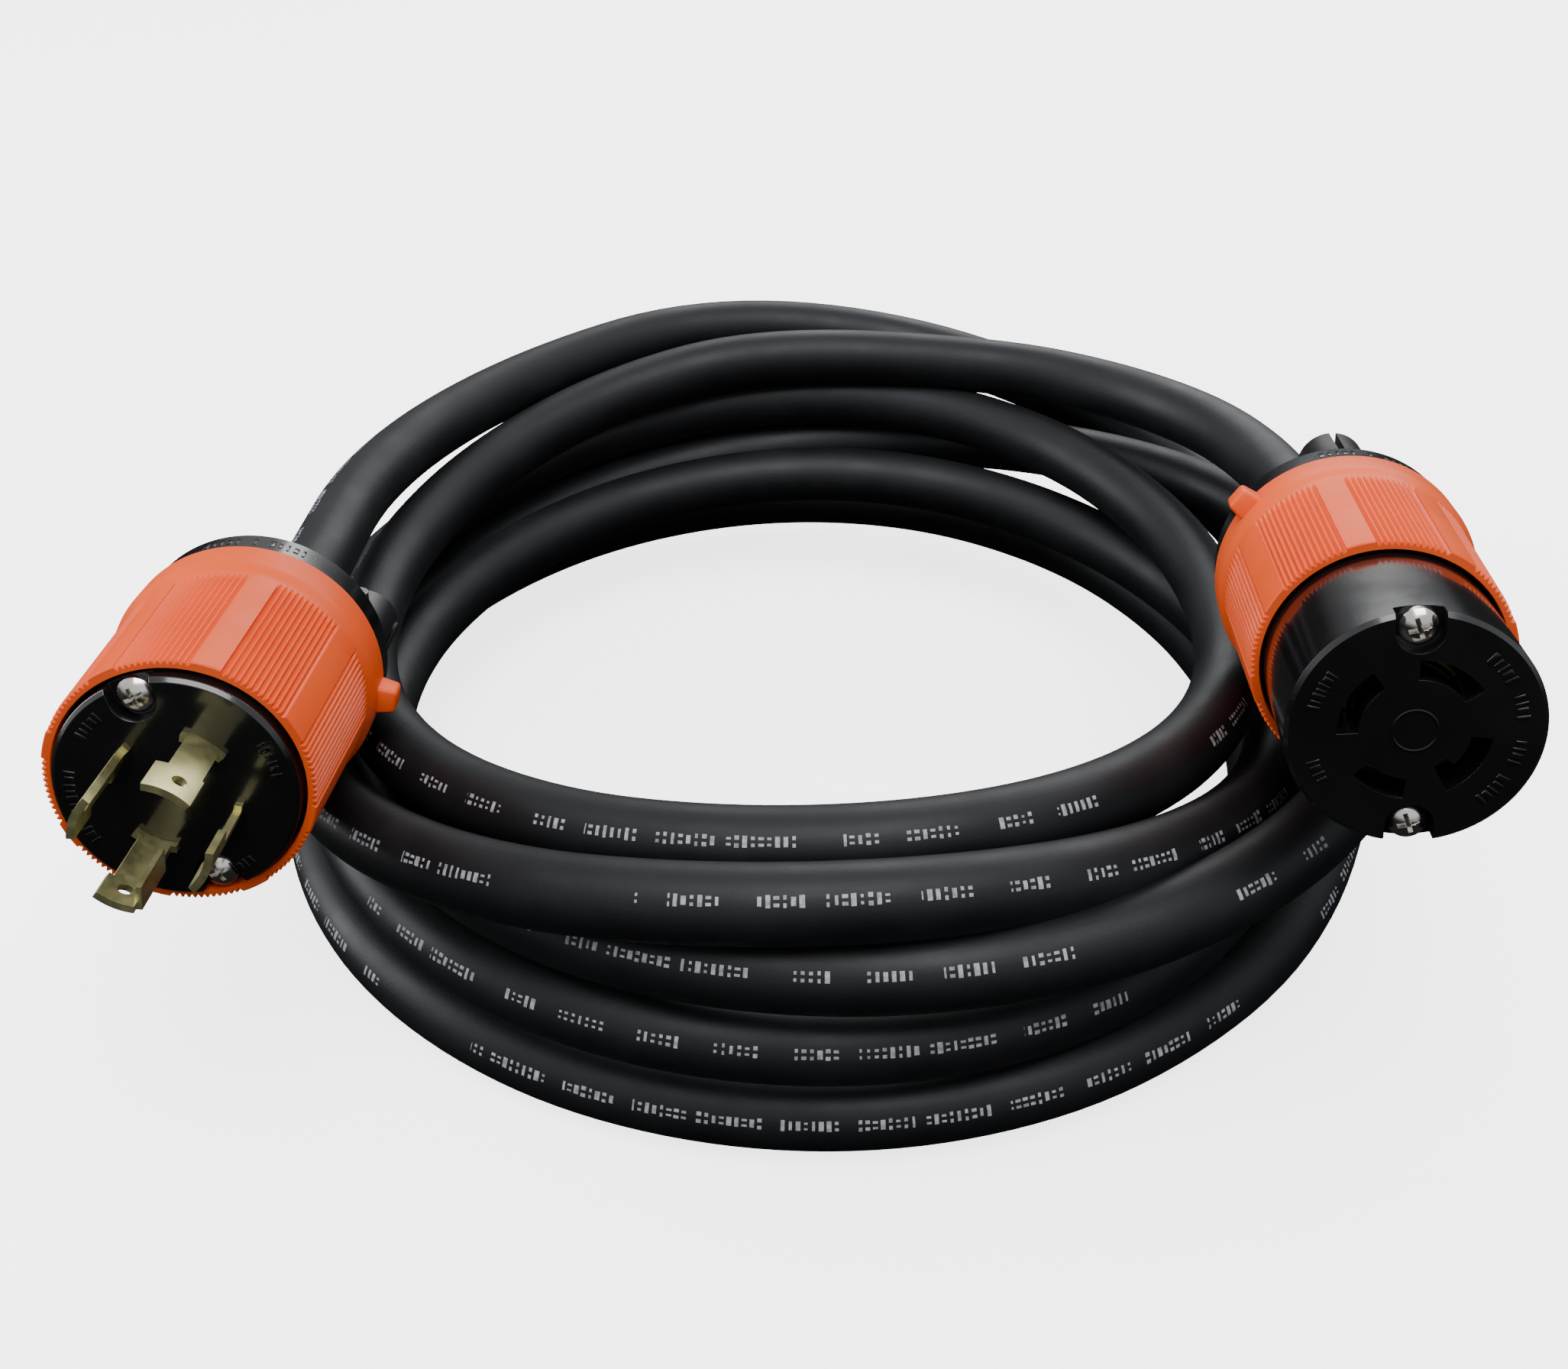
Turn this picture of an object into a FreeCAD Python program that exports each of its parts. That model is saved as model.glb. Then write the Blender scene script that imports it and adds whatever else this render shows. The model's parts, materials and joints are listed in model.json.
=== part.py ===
import FreeCAD, Part
import math
import os

from FreeCAD import Placement, Rotation, Vector

# A locking four-blade extension cord: a plug and a connector on one length of round rubber cable,
# wound into a loose coil that lies on the floor. Millimetres, +Z up, the origin on the floor at the
# middle of the coil, +X towards the connector, and both devices point towards -Y.

# ---- driving dimensions -------------------------------------------------------------------------
CABLE_R = 9.15

NOSE_R = 25.5
PLUG_PROUD = 3.0
CONNECTOR_PROUD = 36.0
NOSE_ROOT = 16.0
SHELL_FRONT_R = 28.5
SHELL_REAR_R = 31.0
SHELL_LENGTH = 60.0
SHELL_WALL = 2.2
LUG_WIDTH = 7.0
LUG_RISE = 4.4
LUG_LENGTH = 8.0
GRIP_REAR_R = 29.8
COLLAR_LENGTH = 9.5
SLOPE = 4.0
BLOCK_R = 24.3
BLOCK_LENGTH = 20.0
STEM_MARGIN = 3.5
CAP_R = 30.2
CAP_LENGTH = 12.0
CAP_EDGE = 2.5
CAP_WALL = 4.0
SKIRT_DEPTH = 5.0
SKIRT_WALL = 1.8
POST_R = 3.6
SEAL_R = 14.0
SEAL_LENGTH = 5.0
CAP_BORE_R = 9.4
JACKET_SETBACK = 56.0

SCREW_CIRCLE_R = 21.5
SCREW_R = 1.9
SCREW_HEAD_R = 3.9
SCREW_TAIL = 2.0
DOME_R = 5.2
CROSS_SPAN = 4.4
CROSS_WIDTH = 0.9
CROSS_DEPTH = 1.3
CROSS_DEG = 25.0
NOTCH_R = 4.9
NOTCH_DEPTH = 4.0
RIM_CHAMFER = 0.9

BLADE_INNER_R = 12.5
BLADE_OUTER_R = 14.1
BLADE_HALF_DEG = 15.0
STEM_HALF_DEG = 8.0
SHOULDER_DEG = 5.5
SHOULDER_HEIGHT = 1.8
HOOK_DEG = 10.0
HOOK_LENGTH = 9.5
HEEL_DEG = 2.0
GROUND_HOOK_LENGTH = 7.5
GROUND_HEEL_DEG = 5.0
TAB_DEG = 13.0
TAB_WIDTH_DEG = 7.0
TAB_INNER_R = 8.9
TAB_START = 9.0
TIP_HOLE_R = 1.6
TIP_HOLE_BACK = 5.0
BLADE_LENGTH = 23.0
GROUND_LENGTH = 25.5
SLOT_INNER_R = 11.0
SLOT_OUTER_R = 15.2
SLOT_DEPTH = 27.0
CONTACT_SETBACK = 12.0
LEAF_INNER_R = 11.5
LEAF_OUTER_R = 15.1
LEAF_THICK = 0.7
LEAF_MARGIN_DEG = 2.0
KEY_INNER_R = 9.0
KEY_DEG = 20.0

CLAMP_LENGTH = 16.0
CLAMP_OUTER_R = 13.5
CLAMP_BORE_R = 9.3
CLAMP_GAP = 1.6
CLAMP_EAR_X = 21.0
CLAMP_EAR_R = 8.5
CLAMP_SCREW_R = 2.0
CLAMP_HEAD_R = 3.6
CLAMP_HEAD_RISE = 2.4
CLAMP_CROSS_SPAN = 5.0
CLAMP_CROSS_DEPTH = 1.1

WIRE_R = 2.4
CORE_R = 1.5
CORE_LENGTH = 11.0
WIRE_PITCH_R = 3.7
TERMINAL_R = 15.8
CHAMBER_WIDTH = 8.4
CHAMBER_NEAR = 4.0
CHAMBER_FAR = 15.0
PLATE_WIDTH = 7.6
PLATE_THICK = 1.2
PLATE_NEAR = 5.5
PLATE_FAR = 13.5
TERMINAL_SCREW_R = 1.9
TERMINAL_SHANK = 3.0
TERMINAL_HEAD_R = 3.2
TERMINAL_HEAD_RISE = 2.4
TERMINAL_SLOT = 1.0
SLACK = 0.06
SLACK_DEG = 0.3

# Angle of each blade round the plug, and of each slot round the connector, which is its mirror.
PLUG_ANGLES = {"ground": 244.0, "x": 326.0, "y": 55.0, "z": 147.0}
CONNECTOR_ANGLES = {"ground": 331.0, "x": 249.0, "y": 160.0, "z": 68.0}
SLOT_HALF_DEG = {"ground": 28.0, "x": 22.0, "y": 29.0, "z": 28.0}
PLUG_SCREW_DEG = 105.0
CONNECTOR_SCREW_DEG = 97.0
PLUG_LUG_DEG = -12.0
CONNECTOR_LUG_DEG = 146.0
CLAMP_DEG = {"plug": 0.0, "connector": -85.0}
WIRE_COLOURS = {"ground": "green", "x": "black", "y": "white", "z": "red"}

# Where each device lies: the middle of its face, and the direction from its face to its rear.
PLUG_FACE = Vector(-141.0, -124.0, 99.0)
PLUG_REARWARD = Vector(-0.03, 0.981, -0.19)
CONNECTOR_FACE = Vector(112.5, -126.0, 116.0)
CONNECTOR_REARWARD = Vector(0.15, 0.965, -0.216)

# The outer shape of the coil: a round ring that stands on the floor.
COIL_CENTRE_Y = 14.0
COIL_INNER_R = 114.0
COIL_OUTER_R = 160.0
COIL_HEIGHT = 86.0
COIL_ROUND = 12.0
ROOM = 1.0
# The share of the shorter run that a bend in the cable takes up.
SET_BACK = 0.45

# The free cord at each end. The plug's runs over the top of the coil at the left, round outside it
# at the back and down to the floor at the right. The connector's comes off the top of the coil.
PLUG_LEAD_STRAIGHT = 121.0
PLUG_LEAD = [
    (-141, 59, 76),
    (-112, 131, 79),
    (-42, 175, 78),
    (39, 171, 68),
    (111, 130, 53),
    (150, 62, 35),
    (150, -12, 21),
    (122, -74, 11.5),
]
CONNECTOR_LEAD_STRAIGHT = 147.0
CONNECTOR_LEAD = [
    (127, 72, 80),
    (99.5, 112, 76),
    (57.5, 136, 75),
]

UP = Vector(0, 0, 1)
ACROSS = Vector(0, 1, 0)


# ---- shapes used by both devices ----------------------------------------------------------------
def cylinder(radius, low, high, x=0.0, y=0.0):
    """An upright cylinder from height low to height high."""
    return Part.makeCylinder(radius, high - low, Vector(x, y, low))


def sector(inner, outer, start_deg, end_deg, low, high):
    """A piece of a ring between two angles and two heights."""
    corners = [Vector(r, 0, z) for r, z in ((inner, low), (outer, low), (outer, high), (inner, high))]
    face = Part.Face(Part.makePolygon(corners + corners[:1]))
    face.rotate(Vector(), UP, start_deg)
    return face.revolve(Vector(), UP, end_deg - start_deg)


def turned(profile):
    """A solid of revolution about Z from (radius, height) points."""
    corners = [Vector(r, 0, z) for r, z in profile]
    return Part.Face(Part.makePolygon(corners + corners[:1])).revolve(Vector(), UP, 360)


def at_angle(radius, degrees, z=0.0):
    angle = math.radians(degrees)
    return Vector(radius * math.cos(angle), radius * math.sin(angle), z)


def radial_cylinder(radius, near, far, degrees, z):
    """A cylinder along a radius of the device, from one distance to another."""
    outward = at_angle(1.0, degrees)
    return Part.makeCylinder(radius, far - near, outward * near + UP * z, outward)


def radial_box(width, near, far, degrees, low, high):
    """A box along a radius of the device."""
    box = Part.makeBox(far - near, width, high - low, Vector(near, -width / 2, low))
    box.rotate(Vector(), UP, degrees)
    return box


def one_solid(shape):
    """The shape without split faces, as a single closed solid."""
    clean = shape.removeSplitter()
    solids = clean.Solids
    if len(solids) != 1:
        raise ValueError(f"{len(solids)} solids where one belongs")
    return solids[0]


def screw_points(screw_deg):
    return [at_angle(SCREW_CIRCLE_R, screw_deg + half) for half in (0.0, 180.0)]


# ---- the pieces of one device, in its own frame: the face at z = 0, its rear towards -Z -----------
def blade_way(angle, half_deg, low, high):
    """The room that a blade or a stem needs to pass through a block."""
    start, end = angle - half_deg - SLACK_DEG, angle + half_deg + SLACK_DEG
    return sector(BLADE_INNER_R - SLACK, BLADE_OUTER_R + SLACK, start, end, low, high)


def nose(proud, screw_deg, angles, is_plug):
    """The black face block, with notches for its screws and a way through for each blade."""
    rear = -(proud + NOSE_ROOT)
    body = cylinder(NOSE_R, rear, 0)
    rim = [e for e in body.Edges if abs(e.BoundBox.ZMin) < 1e-6 and abs(e.BoundBox.ZMax) < 1e-6]
    body = body.makeChamfer(RIM_CHAMFER, rim)
    for point in screw_points(screw_deg):
        notch = cylinder(NOTCH_R, -NOTCH_DEPTH, 1.0, point.x, point.y)
        mouth = radial_box(2 * NOTCH_R, 0.0, 10.0, 0.0, -NOTCH_DEPTH, 1.0)
        mouth.rotate(Vector(), UP, math.degrees(math.atan2(point.y, point.x)))
        mouth.translate(Vector(point.x, point.y, 0))
        bore = cylinder(SCREW_R + SLACK, rear - 1, 0, point.x, point.y)
        body = body.cut(notch.fuse(mouth)).cut(bore)
    for name, angle in angles.items():
        if is_plug:
            way = blade_way(angle, BLADE_HALF_DEG, rear - 1, 1)
        else:
            half = SLOT_HALF_DEG[name]
            way = sector(SLOT_INNER_R, SLOT_OUTER_R, angle - half, angle + half, -SLOT_DEPTH, 1)
            if name == "ground":
                start = angle - half
                way = way.fuse(sector(KEY_INNER_R, SLOT_INNER_R + 1, start, start + KEY_DEG, -SLOT_DEPTH, 1))
            way = way.fuse(blade_way(angle, STEM_HALF_DEG, rear - 1, 0))
        body = body.cut(way)
    return one_solid(body)


def wiring_block(proud, screw_deg, angles):
    """The inner block behind the nose, with a terminal chamber for each conductor."""
    front = -(proud + NOSE_ROOT)
    rear = front - BLOCK_LENGTH
    body = cylinder(BLOCK_R, rear, front)
    for point in screw_points(screw_deg):
        body = body.cut(cylinder(SCREW_R + SLACK, rear - 1, front + 1, point.x, point.y))
    for angle in angles.values():
        low, high = front - CHAMBER_FAR, front - CHAMBER_NEAR
        chamber = radial_box(CHAMBER_WIDTH, BLADE_INNER_R - 0.1, BLOCK_R + 1, angle, low, high)
        way = blade_way(angle, STEM_HALF_DEG, rear + STEM_MARGIN - 0.5, front + 1)
        entry = at_angle(TERMINAL_R, angle)
        hole = cylinder(WIRE_R + 0.1, rear - 1, low + 1, entry.x, entry.y)
        body = body.cut(chamber).cut(way).cut(hole)
    return one_solid(body)


def terminal_plates(proud, angles):
    """One clamp plate over each bared conductor."""
    front = -(proud + NOSE_ROOT)
    near = TERMINAL_R + CORE_R + SLACK
    low, high = front - PLATE_FAR, front - PLATE_NEAR
    far = near + PLATE_THICK
    return Part.makeCompound([radial_box(PLATE_WIDTH, near, far, angle, low, high) for angle in angles.values()])


def terminal_screws(proud, angles):
    """A radial screw with a slotted head on each clamp plate."""
    front = -(proud + NOSE_ROOT)
    near = TERMINAL_R + CORE_R + SLACK + PLATE_THICK + SLACK
    seat = near + TERMINAL_SHANK
    top = seat + TERMINAL_HEAD_RISE
    z = front - (PLATE_NEAR + PLATE_FAR) / 2
    screws = []
    for angle in angles.values():
        head = radial_cylinder(TERMINAL_HEAD_R, seat, top, angle, z)
        shank = radial_cylinder(TERMINAL_SCREW_R, near, seat + 0.2, angle, z)
        slot = radial_box(TERMINAL_SLOT, top - 1.0, top + 1.0, angle, z - 4, z + 4)
        screws.append(one_solid(head.fuse(shank).cut(slot)))
    return Part.makeCompound(screws)


def blade(name, angle):
    """A curved blade: stem, shank, base shoulders and a locking hook at the tip."""
    ground = name == "ground"
    length = GROUND_LENGTH if ground else BLADE_LENGTH
    stem_end = -(PLUG_PROUD + NOSE_ROOT + BLOCK_LENGTH - STEM_MARGIN)
    back = -(PLUG_PROUD + NOSE_ROOT)

    def band(low_deg, high_deg, low, high, inner=BLADE_INNER_R):
        return sector(inner, BLADE_OUTER_R, angle + low_deg, angle + high_deg, low, high)

    shape = band(-STEM_HALF_DEG, STEM_HALF_DEG, stem_end, back + 1)
    shape = shape.fuse(band(-BLADE_HALF_DEG, BLADE_HALF_DEG, back + SLACK, length))
    half = BLADE_HALF_DEG
    shape = shape.fuse(band(-half - SHOULDER_DEG, half + SHOULDER_DEG, SLACK, SHOULDER_HEIGHT))
    if ground:
        shape = shape.fuse(band(TAB_DEG, TAB_DEG + TAB_WIDTH_DEG, TAB_START, length - 1.5, TAB_INNER_R))
        shape = shape.fuse(band(-half - GROUND_HEEL_DEG, half, length - GROUND_HOOK_LENGTH, length))
    else:
        shape = shape.fuse(band(-half - HEEL_DEG, half + HOOK_DEG, length - HOOK_LENGTH, length))
    hole_z = length - TIP_HOLE_BACK
    shape = shape.cut(radial_cylinder(TIP_HOLE_R, TAB_INNER_R / 2, BLADE_OUTER_R + 5.0, angle, hole_z))
    return one_solid(shape)


def contact(name, angle):
    """A spring contact: two leaves that grip the blade, a bridge and a stem to its terminal."""
    bridge_z = -(SLOT_DEPTH - 1.0)
    half = SLOT_HALF_DEG[name] - LEAF_MARGIN_DEG
    start, end = angle - half, angle + half
    stem_end = -(CONNECTOR_PROUD + NOSE_ROOT + BLOCK_LENGTH - STEM_MARGIN)
    inner_leaf = sector(LEAF_INNER_R, LEAF_INNER_R + LEAF_THICK, start, end, bridge_z, -CONTACT_SETBACK)
    outer_leaf = sector(LEAF_OUTER_R - LEAF_THICK, LEAF_OUTER_R, start, end, bridge_z, -CONTACT_SETBACK)
    bridge = sector(LEAF_INNER_R, LEAF_OUTER_R, start, end, bridge_z, bridge_z + 1.2)
    near, far = angle - STEM_HALF_DEG, angle + STEM_HALF_DEG
    stem = sector(BLADE_INNER_R, BLADE_OUTER_R, near, far, stem_end, bridge_z + 1)
    return one_solid(inner_leaf.fuse([outer_leaf, bridge, stem]))


def assembly_screws(proud, screw_deg):
    """Two long cross-head screws from the face to the rear cap."""
    end = -(proud + SHELL_LENGTH + SCREW_TAIL)
    floor = -NOTCH_DEPTH + 3.0 - CROSS_DEPTH
    screws = []
    for point in screw_points(screw_deg):
        shank = cylinder(SCREW_R, end, -NOTCH_DEPTH + 0.5, point.x, point.y)
        head = Part.makeSphere(DOME_R, Vector(point.x, point.y, 3.3 - DOME_R - NOTCH_DEPTH))
        head = head.common(cylinder(SCREW_HEAD_R, -NOTCH_DEPTH + SLACK, 2.0, point.x, point.y))
        corner = Vector(-CROSS_SPAN / 2, -CROSS_WIDTH / 2, floor)
        cross = Part.makeBox(CROSS_SPAN, CROSS_WIDTH, NOTCH_DEPTH, corner)
        bar = cross.copy()
        bar.rotate(Vector(), UP, 90)
        cross = cross.fuse(bar)
        cross.rotate(Vector(), UP, CROSS_DEG)
        cross.translate(Vector(point.x, point.y, 0))
        screws.append(one_solid(shank.fuse(head).cut(cross)))
    return Part.makeCompound(screws)


def shell(proud, lug_deg):
    """The tapered housing with its collar and a small lug at the rear."""
    front = -proud
    rear = front - SHELL_LENGTH
    collar = rear + COLLAR_LENGTH
    collar_r = SHELL_REAR_R
    outer = [(SHELL_FRONT_R, front), (GRIP_REAR_R, collar + SLOPE), (collar_r, collar), (collar_r, rear)]
    bore_front = NOSE_R + 0.8
    bore_rear = collar_r - SHELL_WALL
    inner = [(bore_rear, rear), (bore_rear - 0.6, collar), (bore_front, front - 6), (bore_front, front)]
    body = turned(outer + inner)
    lug = radial_box(LUG_WIDTH, collar_r - 1.5, collar_r + LUG_RISE, lug_deg, rear, rear + LUG_LENGTH)
    return one_solid(body.fuse(lug))


def rear_cap(proud, screw_deg):
    """The black cap that closes the housing, with a skirt, a cable bore and two screw posts."""
    shell_end = -(proud + SHELL_LENGTH)
    block_end = -(proud + NOSE_ROOT + BLOCK_LENGTH)
    rear = shell_end - CAP_LENGTH
    skirt_r = SHELL_REAR_R - SHELL_WALL - 1.0
    profile = [
        (CAP_BORE_R, rear),
        (CAP_R - CAP_EDGE, rear),
        (CAP_R, rear + CAP_EDGE),
        (CAP_R, shell_end - SLACK),
        (skirt_r, shell_end - SLACK),
        (skirt_r, shell_end + SKIRT_DEPTH),
        (skirt_r - SKIRT_WALL, shell_end + SKIRT_DEPTH),
        (skirt_r - SKIRT_WALL, rear + CAP_WALL + 3.0),
        (SEAL_R + 1.0, rear + CAP_WALL),
        (CAP_BORE_R, rear + CAP_WALL),
    ]
    body = turned(profile)
    for point in screw_points(screw_deg):
        post = cylinder(POST_R, rear + CAP_WALL - 1.0, block_end - SLACK, point.x, point.y)
        pilot = cylinder(SCREW_R + SLACK, shell_end - 2.5, block_end + 1, point.x, point.y)
        body = body.fuse(post).cut(pilot)
    return one_solid(body)


def dust_seal(proud):
    """The soft ring round the cable, seated against the cap's inner wall."""
    seat = -(proud + SHELL_LENGTH + CAP_LENGTH - CAP_WALL)
    bore = cylinder(CABLE_R + SLACK, seat - 1, seat + SEAL_LENGTH + 1)
    ring = cylinder(SEAL_R, seat + SLACK, seat + SEAL_LENGTH).cut(bore)
    return one_solid(ring)


def clamp_jaw(proud, side, clamp_deg):
    """One half of the cable grip: half a tube with a rounded ear each side. side is 1 or -1."""
    front = -(proud + SHELL_LENGTH + CAP_LENGTH) - SLACK
    rear = front - CLAMP_LENGTH
    body = cylinder(CLAMP_OUTER_R, rear, front)
    corner = Vector(-CLAMP_EAR_X, -CLAMP_EAR_R, rear)
    web = Part.makeBox(2 * CLAMP_EAR_X, 2 * CLAMP_EAR_R, CLAMP_LENGTH, corner)
    ears = [cylinder(CLAMP_EAR_R, rear, front, x, 0) for x in (-CLAMP_EAR_X, CLAMP_EAR_X)]
    body = body.fuse([web] + ears)
    body = body.cut(cylinder(CLAMP_BORE_R, rear - 1, front + 1))
    half = Part.makeBox(100, 50, 2 * CLAMP_LENGTH, Vector(-50, CLAMP_GAP / 2, rear - 1))
    if side < 0:
        half.rotate(Vector(0, 0, 0), UP, 180)
    body = body.common(half)
    for x in (-CLAMP_EAR_X, CLAMP_EAR_X):
        bore = Part.makeCylinder(CLAMP_SCREW_R + SLACK, 60, Vector(x, -30, (front + rear) / 2), ACROSS)
        body = body.cut(bore)
    body.rotate(Vector(), UP, clamp_deg)
    return one_solid(body)


def clamp_screws(proud, clamp_deg):
    """Two cross-head screws that draw the jaws together."""
    middle = -(proud + SHELL_LENGTH + CAP_LENGTH + SLACK + CLAMP_LENGTH / 2)
    seat = CLAMP_EAR_R + SLACK
    screws = []
    for x in (-CLAMP_EAR_X, CLAMP_EAR_X):
        shank = Part.makeCylinder(CLAMP_SCREW_R, seat + CLAMP_EAR_R, Vector(x, -CLAMP_EAR_R, middle), ACROSS)
        head = Part.makeCylinder(CLAMP_HEAD_R, CLAMP_HEAD_RISE, Vector(x, seat, middle), ACROSS)
        floor = seat + CLAMP_HEAD_RISE - CLAMP_CROSS_DEPTH
        corner = Vector(x - CROSS_WIDTH / 2, floor, middle - CLAMP_CROSS_SPAN / 2)
        slot = Part.makeBox(CROSS_WIDTH, CLAMP_HEAD_RISE, CLAMP_CROSS_SPAN, corner)
        bar = slot.copy()
        bar.rotate(Vector(x, 0, middle), ACROSS, 90)
        screw = shank.fuse(head).cut(slot).cut(bar)
        screw.rotate(Vector(), UP, clamp_deg)
        screws.append(one_solid(screw))
    return Part.makeCompound(screws)


def wire(proud, angle):
    """An insulated conductor from the end of the jacket to its terminal, bared at the tip."""
    jacket_end = -(proud + JACKET_SETBACK)
    block_end = -(proud + NOSE_ROOT + BLOCK_LENGTH)
    outward = at_angle(1.0, angle)
    start = outward * WIRE_PITCH_R + UP * (jacket_end + SLACK)
    bend_start = start + UP * 1.0
    end = outward * TERMINAL_R + UP * (block_end + 2.0)
    bend_end = end - UP * 2.5
    rise, run = bend_end.z - bend_start.z, TERMINAL_R - WIRE_PITCH_R
    bend_r = (rise ** 2 + run ** 2) / (4 * run)
    swing = math.asin(rise / (2 * bend_r))
    across, along = bend_r * (1 - math.cos(swing / 2)), bend_r * math.sin(swing / 2)
    middle = (bend_start + bend_end) * 0.5
    path = Part.Wire(
        [
            Part.LineSegment(start, bend_start).toShape(),
            Part.Arc(bend_start, bend_start + outward * across + UP * along, middle).toShape(),
            Part.Arc(middle, bend_end - outward * across - UP * along, bend_end).toShape(),
            Part.LineSegment(bend_end, end).toShape(),
        ]
    )
    profile = Part.Wire(Part.makeCircle(WIRE_R, start, UP))
    body = path.makePipeShell([profile], True, True)
    core = Part.makeCylinder(CORE_R, CORE_LENGTH, end - UP * 0.5, UP)
    return one_solid(body.fuse(core))


# ---- a device in its own frame, then placed -----------------------------------------------------
def device_parts(kind):
    """Every piece of a plug or a connector, by node name."""
    is_plug = kind == "plug"
    proud = PLUG_PROUD if is_plug else CONNECTOR_PROUD
    angles = PLUG_ANGLES if is_plug else CONNECTOR_ANGLES
    screw_deg = PLUG_SCREW_DEG if is_plug else CONNECTOR_SCREW_DEG
    made = {
        "nose": nose(proud, screw_deg, angles, is_plug),
        "wiring_block": wiring_block(proud, screw_deg, angles),
        "terminal_plates": terminal_plates(proud, angles),
        "terminal_screws": terminal_screws(proud, angles),
        "assembly_screws": assembly_screws(proud, screw_deg),
        "shell": shell(proud, PLUG_LUG_DEG if is_plug else CONNECTOR_LUG_DEG),
        "rear_cap": rear_cap(proud, screw_deg),
        "dust_seal": dust_seal(proud),
        "clamp_jaw_moving": clamp_jaw(proud, 1, CLAMP_DEG[kind]),
        "clamp_jaw_fixed": clamp_jaw(proud, -1, CLAMP_DEG[kind]),
        "clamp_screws": clamp_screws(proud, CLAMP_DEG[kind]),
    }
    for name, angle in angles.items():
        made[("blade_" if is_plug else "contact_") + name] = (blade if is_plug else contact)(name, angle)
        made["wire_" + WIRE_COLOURS[name]] = wire(proud, angle)
    return {f"{kind}_{name}": shape for name, shape in made.items()}


def device_placement(face, rearward):
    """Puts a device's face at a point, with its rear along a direction and its X level."""
    outward = (rearward * -1).normalize()
    level = UP.cross(outward).normalize()
    return Placement(face, Rotation(level, outward.cross(level), outward, "ZXY"))


def device_point(face, rearward, distance):
    """The point on a device's axis at a distance behind its face."""
    return face + Vector(rearward).normalize() * distance


# ---- the cord -----------------------------------------------------------------------------------
def rounded_tube(points):
    """A tube of the cable's size along straight runs joined by tangent arcs."""
    edges, here, length = [], points[0], 0.0
    for before, corner, after in zip(points, points[1:], points[2:]):
        run_in, run_out = corner - before, after - corner
        half_turn = run_in.getAngle(run_out) / 2
        set_back = SET_BACK * min(run_in.Length, run_out.Length)
        radius = set_back / math.tan(half_turn)
        start = corner - Vector(run_in).normalize() * set_back
        end = corner + Vector(run_out).normalize() * set_back
        inward = (Vector(run_out).normalize() - Vector(run_in).normalize()).normalize()
        top = corner + inward * (radius / math.cos(half_turn) - radius)
        edges += [Part.LineSegment(here, start).toShape(), Part.Arc(start, top, end).toShape()]
        length += (start - here).Length + 2 * half_turn * radius
        here = end
        print(f"bend radius {radius:.0f} mm, turn {math.degrees(2 * half_turn):.0f} deg")
    edges.append(Part.LineSegment(here, points[-1]).toShape())
    length += (points[-1] - here).Length
    path = Part.Wire(edges)
    first = (points[1] - points[0]).normalize()
    profile = Part.Wire(Part.makeCircle(CABLE_R, points[0], first))
    tube = path.makePipeShell([profile], True, True)
    expected = math.pi * CABLE_R ** 2 * length
    print(f"tube length {length:.1f} mm, volume ratio {tube.Volume / expected:.4f}")
    return one_solid(tube)


def lead(face, rearward, proud, straight, points):
    """The cord from its jacket's end inside a device, straight out of the clamp, then along points."""
    start = device_point(face, rearward, proud + JACKET_SETBACK)
    out = device_point(face, rearward, straight)
    return rounded_tube([start, out] + [Vector(*point) for point in points])


def room_for_device(face, rearward, proud):
    """The space that a device and its clamp take, with a little room round them."""
    cap_end = -(proud + SHELL_LENGTH + CAP_LENGTH)
    shape = cylinder(SHELL_REAR_R + LUG_RISE + ROOM, cap_end - CLAMP_LENGTH - ROOM, PLUG_PROUD)
    shape.Placement = device_placement(face, rearward)
    return shape


def coil(taken):
    """The outer shape of the coiled cable, open where the devices and the leads lie."""
    middle = Vector(0, COIL_CENTRE_Y, 0)
    ring = Part.makeCylinder(COIL_OUTER_R, COIL_HEIGHT, middle)
    ring = ring.cut(Part.makeCylinder(COIL_INNER_R, COIL_HEIGHT, middle))
    ring = ring.makeFillet(COIL_ROUND, [e for e in ring.Edges if e.BoundBox.ZMin > COIL_HEIGHT - 1])
    for shape in taken:
        ring = ring.cut(shape)
    return max(ring.Solids, key=lambda solid: solid.Volume)


def main():
    devices = {
        "plug": (PLUG_FACE, PLUG_REARWARD, PLUG_PROUD),
        "connector": (CONNECTOR_FACE, CONNECTOR_REARWARD, CONNECTOR_PROUD),
    }
    parts = {}
    for kind, (face, rearward, _) in devices.items():
        place = device_placement(face, rearward)
        for name, shape in device_parts(kind).items():
            shape.Placement = place.multiply(shape.Placement)
            parts[name] = shape
    plug_lead = lead(*devices["plug"], PLUG_LEAD_STRAIGHT, PLUG_LEAD)
    connector_lead = lead(*devices["connector"], CONNECTOR_LEAD_STRAIGHT, CONNECTOR_LEAD)
    rooms = [room_for_device(*device) for device in devices.values()]
    parts["cord_lead_plug"] = plug_lead
    parts["cord_lead_connector"] = connector_lead
    parts["cord_coil"] = coil(rooms + [plug_lead, connector_lead])
    os.makedirs("parts", exist_ok=True)
    for name, shape in parts.items():
        shape.exportStep(f"parts/{name}.step")
        print(name, shape.isValid(), len(shape.Solids), round(shape.Volume, 1))


main()
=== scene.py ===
import bmesh
import bpy
import json
import math

from mathutils import Matrix, Vector


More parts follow.
